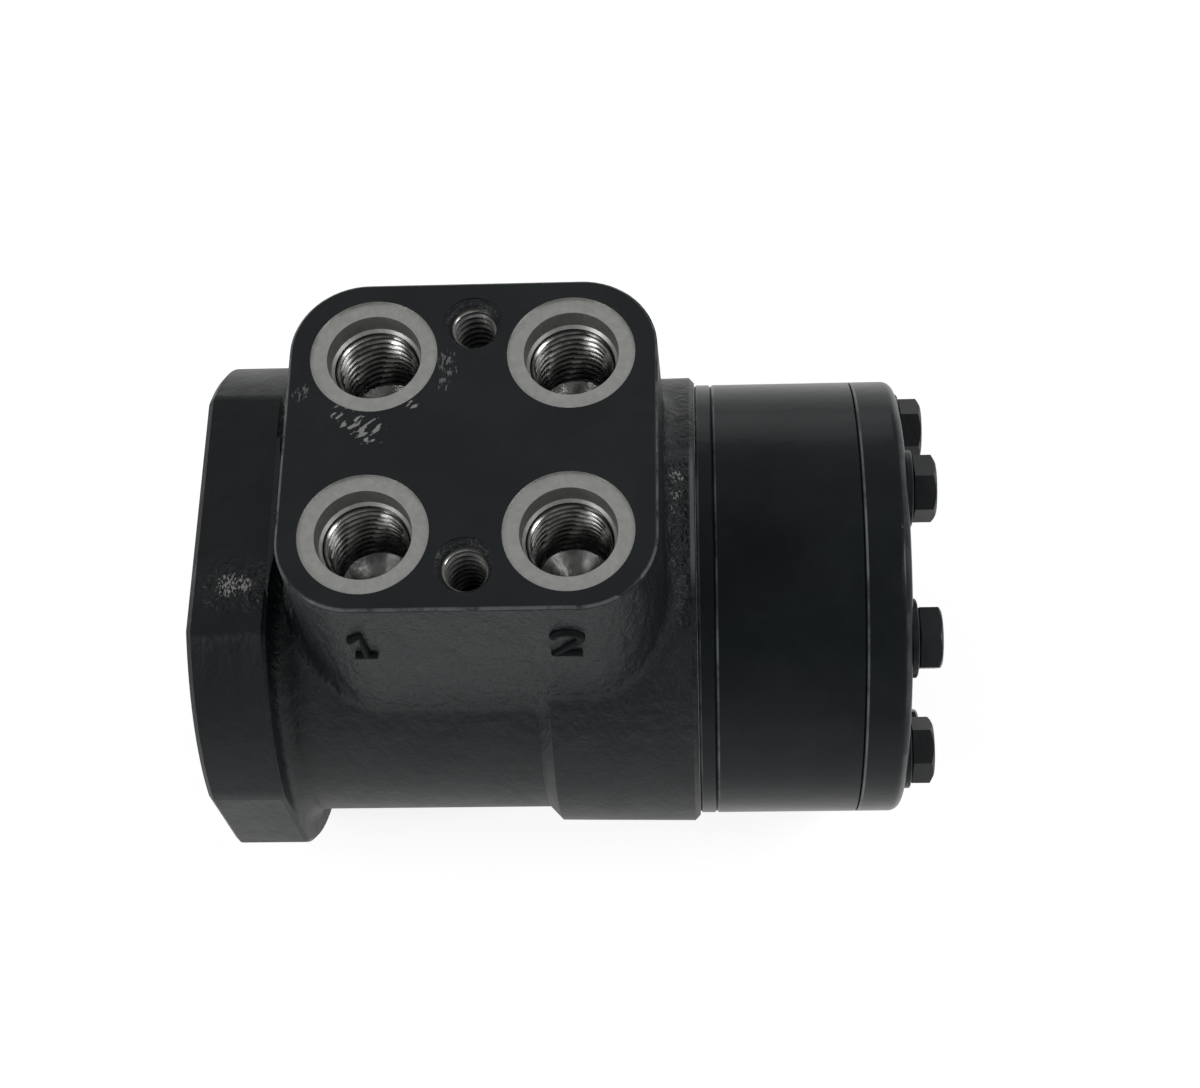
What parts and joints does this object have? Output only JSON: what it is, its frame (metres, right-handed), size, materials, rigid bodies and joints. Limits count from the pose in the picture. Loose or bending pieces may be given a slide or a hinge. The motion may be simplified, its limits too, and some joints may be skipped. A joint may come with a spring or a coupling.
{
  "type": "orbital steering unit",
  "caption": "Hydraulic orbital steering unit with a cast valve housing, raised port block, square column flange, gerotor gear ring and bolted end cover.",
  "frame": {"origin": "centre of the column flange's mounting face, on the shaft axis", "axes": "+X along the shaft from the column flange to the end cover, +Z out of the port face"},
  "size_m": [0.1608, 0.108, 0.1303],
  "materials": {
    "paint_cast": "semi-gloss black paint over rough casting",
    "paint_turned": "semi-gloss black paint over turned steel",
    "steel": "ground steel",
    "steel_dark": "hardened steel",
    "gear_steel": "ground gear steel",
    "spring_steel": "blued spring steel",
    "brass": "turned brass",
    "rubber": "moulded nitrile",
    "ptfe": "filled PTFE"
  },
  "bodies": {
    "body": {"housing": "paint_cast", "dust_seal": "rubber", "shaft_seal": "ptfe", "shaft_oring": "rubber", "bearing_outer_race": "steel_dark", "ball_stop": "steel", "body_oring": "rubber", "distributor_plate": "paint_turned", "plate_oring": "rubber", "stator_ring": "paint_turned", "cover_oring": "rubber", "end_cover": "paint_turned", "cover_bolts": "paint_turned", "washers": "paint_turned"},
    "sleeve": {"sleeve": "steel", "cross_pin": "steel_dark", "spring_ring": "steel_dark", "flat_springs": "spring_steel", "curved_springs": "spring_steel", "bearing_inner_race": "steel_dark"},
    "bearing": {"needles": "steel", "needle_cage": "steel"},
    "spool": {"spool": "steel"},
    "orbit": {"drive_spacer": "steel"},
    "rotor": {"rotor": "gear_steel"},
    "drive": {"drive_shaft": "steel_dark"},
    "check_ball": {"check_ball": "steel"}
  },
  "joints": [
    {"name": "valve_spin", "type": "hinge", "parent": "body", "child": "sleeve", "pos_m": [0.0642, 0, 0], "axis": [1, 0, 0], "continuous": true},
    {"name": "spool_twist", "type": "hinge", "parent": "sleeve", "child": "spool", "pos_m": [0.0535, 0, 0], "axis": [1, 0, 0], "range_deg": [-8, 8], "stiffness_Nm_per_rad": 8, "deforming": ["flat_springs", "curved_springs"]},
    {"name": "bearing_spin", "type": "hinge", "parent": "body", "child": "bearing", "pos_m": [0.01815, 0, 0], "axis": [1, 0, 0], "continuous": true},
    {"name": "orbit_spin", "type": "hinge", "parent": "body", "child": "orbit", "pos_m": [0.128, 0, 0], "axis": [1, 0, 0], "continuous": true},
    {"name": "rotor_spin", "type": "hinge", "parent": "orbit", "child": "rotor", "pos_m": [0.128, -0.0035, 0], "axis": [1, 0, 0], "continuous": true},
    {"name": "drive_spin", "type": "hinge", "parent": "orbit", "child": "drive", "pos_m": [0.0435, 0, 0], "axis": [0.999, -0.0437, 0], "continuous": true},
    {"name": "check_ball_lift", "type": "slide", "parent": "body", "child": "check_ball", "axis": [0, 0, 1], "range_m": [0, 0.0024]}
  ],
  "couplings": [
    {"joint": "bearing_spin", "follows": "valve_spin", "ratio": 0.5},
    {"joint": "orbit_spin", "follows": "valve_spin", "ratio": -6},
    {"joint": "rotor_spin", "follows": "valve_spin", "ratio": 7},
    {"joint": "drive_spin", "follows": "valve_spin", "ratio": 7}
  ]
}
